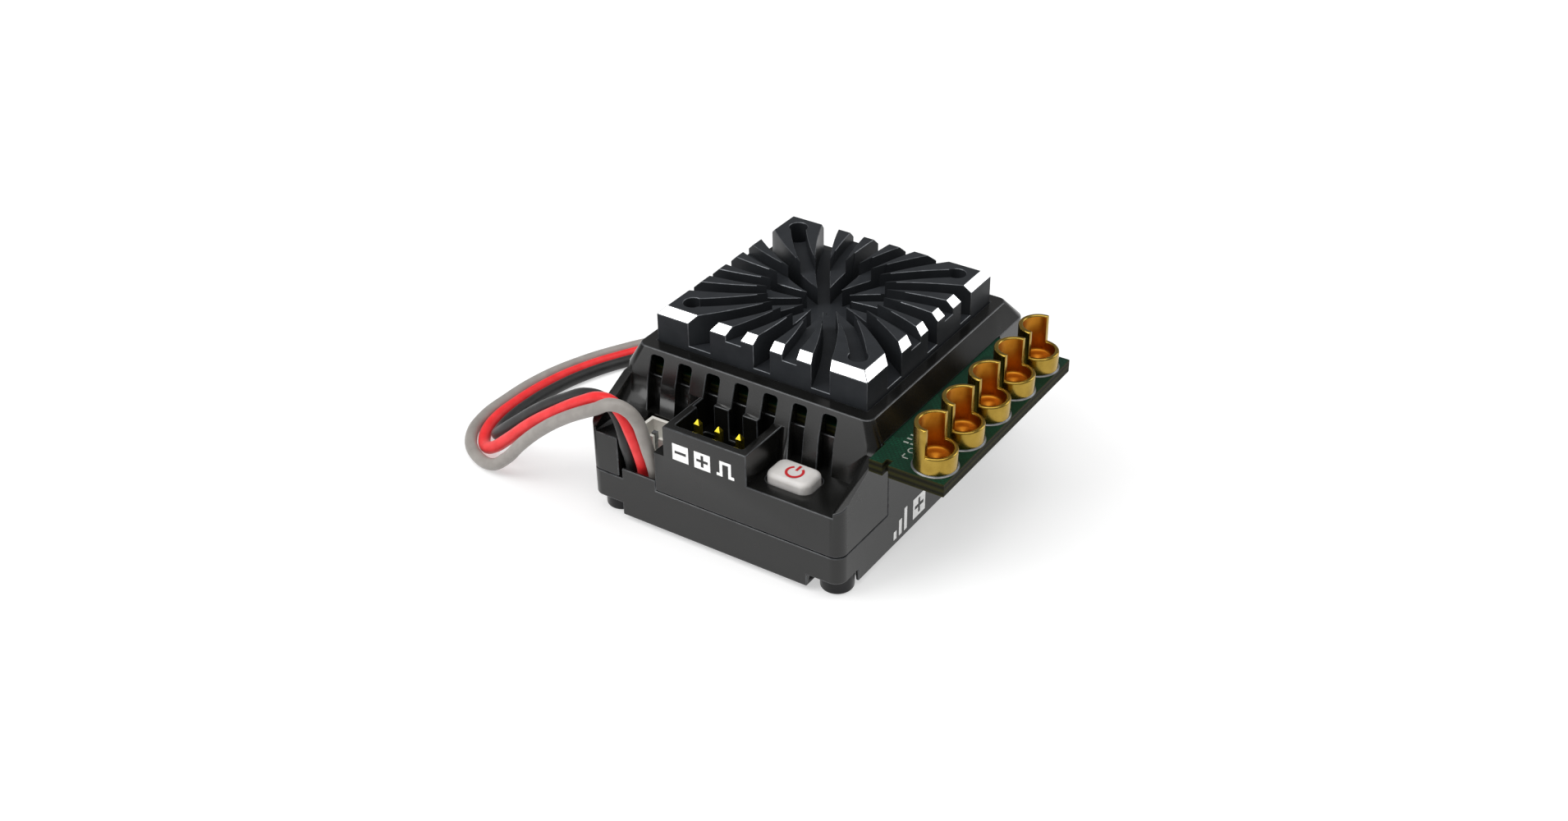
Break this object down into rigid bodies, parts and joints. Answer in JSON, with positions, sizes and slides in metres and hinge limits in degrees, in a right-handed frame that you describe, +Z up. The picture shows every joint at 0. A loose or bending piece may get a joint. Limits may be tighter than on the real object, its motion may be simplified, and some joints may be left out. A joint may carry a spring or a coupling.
{
  "type": "electronic speed controller",
  "caption": "Black two-part case with a swirl-finned heat sink, gold solder posts on a side board, a power button, sockets and a receiver lead.",
  "frame": {"origin": "middle of the body's footprint, without the lead, at the level of the screw heads it stands on", "axes": "+X from the lead's bay to the solder posts, +Y from the front with the button to the rear, +Z up"},
  "size_m": [0.0606, 0.0606, 0.0209],
  "materials": {
    "case_plastic": "moulded black nylon with a fine grain",
    "anodised_aluminium": "black anodised with bright machined chamfers",
    "thermal_pad_silicone": "soft matt",
    "circuit_board": "green solder mask",
    "chip_epoxy": "moulded epoxy",
    "gold_plate": "bright gold plate",
    "tinned_metal": "tinned",
    "can_aluminium": "drawn can",
    "header_nylon": "moulded",
    "ivory_nylon": "moulded",
    "white_abs": "satin moulded",
    "black_steel": "black oxide",
    "black_wire": "soft jacket",
    "red_wire": "soft jacket",
    "grey_wire": "soft jacket"
  },
  "bodies": {
    "case": {"lower_case": "case_plastic", "upper_case": "case_plastic", "heatsink": "anodised_aluminium", "thermal_pad": "thermal_pad_silicone", "power_transistors": "chip_epoxy", "power_board": "circuit_board", "solder_post_1": "gold_plate", "solder_post_2": "gold_plate", "solder_post_3": "gold_plate", "solder_post_4": "gold_plate", "solder_post_5": "gold_plate", "bulk_capacitors": "can_aluminium", "control_board": "circuit_board", "microcontroller": "chip_epoxy", "gate_drivers": "chip_epoxy", "voltage_regulator": "chip_epoxy", "choke": "chip_epoxy", "crystal": "tinned_metal", "link_header_base": "header_nylon", "link_header_pins": "gold_plate", "receiver_header_base": "header_nylon", "receiver_pins": "gold_plate", "fan_socket": "ivory_nylon", "fan_socket_pins": "tinned_metal", "switch_body": "header_nylon", "switch_cover": "tinned_metal", "case_screws": "black_steel", "lead_black": "black_wire", "lead_red": "red_wire", "lead_grey": "grey_wire", "lead_coil": "black_wire", "coil_tie": "header_nylon", "servo_plug": "header_nylon", "plug_contacts": "gold_plate"},
    "button": {"power_button": "white_abs", "switch_plunger": "white_abs"}
  },
  "joints": [
    {"name": "power_button_press", "type": "slide", "parent": "case", "child": "button", "axis": [0, 0, -1], "range_m": [0, 0.0004], "stiffness_N_per_m": 400}
  ]
}
